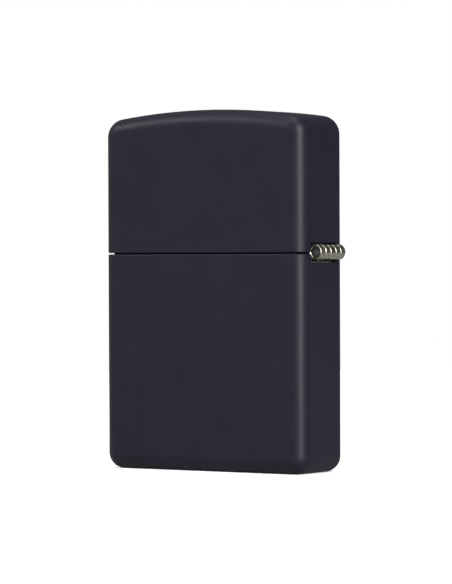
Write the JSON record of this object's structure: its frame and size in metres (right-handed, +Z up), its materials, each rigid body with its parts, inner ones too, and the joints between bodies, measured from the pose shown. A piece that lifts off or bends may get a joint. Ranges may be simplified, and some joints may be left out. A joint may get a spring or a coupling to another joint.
{
  "type": "lighter",
  "caption": "Flip-top petrol lighter: rounded flat case, crowned lid on a barrel hinge, and an insert with a perforated windscreen, striker wheel, flint, cam and wick.",
  "frame": {"origin": "centre of the flat bottom face that the closed lighter stands on", "axes": "+X towards the hinge along the width, -Y to the front along the depth, +Z up along the height"},
  "size_m": [0.0399, 0.013, 0.0574],
  "materials": {
    "black_paint": "matt powder coat",
    "hinge_metal": "satin, slightly darkened",
    "steel": "satin",
    "insert_metal": "brushed",
    "wheel_steel": "hardened, dark",
    "spring_steel": "blued",
    "brass": "turned",
    "flint": "matt",
    "wick_cotton": "braided",
    "copper": "drawn wire",
    "packing_fibre": "loose fibre",
    "felt": "pressed felt"
  },
  "bodies": {
    "case": {"case_shell": "black_paint", "case_hinge_leaf": "hinge_metal", "hinge_pin": "steel", "fuel_canister": "insert_metal", "chimney": "insert_metal", "wheel_rivet": "steel", "cam_rivet": "steel", "cam_spring": "spring_steel", "cam_spring_rivet": "steel", "flint_tube": "brass", "flint_spring": "spring_steel", "flint_screw": "brass", "wick": "wick_cotton", "wick_wire": "copper", "packing_balls": "packing_fibre", "felt_pad": "felt"},
    "lid": {"lid_shell": "black_paint", "lid_hinge_leaf": "hinge_metal", "lid_cam_tongue": "steel"},
    "striker": {"striker_wheel": "wheel_steel"},
    "cam": {"cam": "steel"},
    "flint_stack": {"flint": "flint", "flint_plunger": "brass"}
  },
  "joints": [
    {"name": "lid_hinge", "type": "hinge", "parent": "case", "child": "lid", "pos_m": [0.0196, 0, 0.03475], "axis": [0, 1, 0], "range_deg": [0, 135]},
    {"name": "cam_pivot", "type": "hinge", "parent": "case", "child": "cam", "pos_m": [0.01435, 0, 0.0372], "axis": [0, 1, 0], "range_deg": [0, 27], "deforming": ["cam_spring"]},
    {"name": "striker_spin", "type": "hinge", "parent": "case", "child": "striker", "pos_m": [0.0066, 0, 0.0451], "axis": [0, 1, 0], "continuous": true},
    {"name": "flint_feed", "type": "slide", "parent": "case", "child": "flint_stack", "axis": [0, 0, 1], "range_m": [-0.0006, 0], "stiffness_N_per_m": 150, "springref_m": 0.02, "deforming": ["flint_spring"]}
  ],
  "couplings": [
    {"joint": "cam_pivot", "follows": "lid_hinge", "ratio": 0.2}
  ]
}
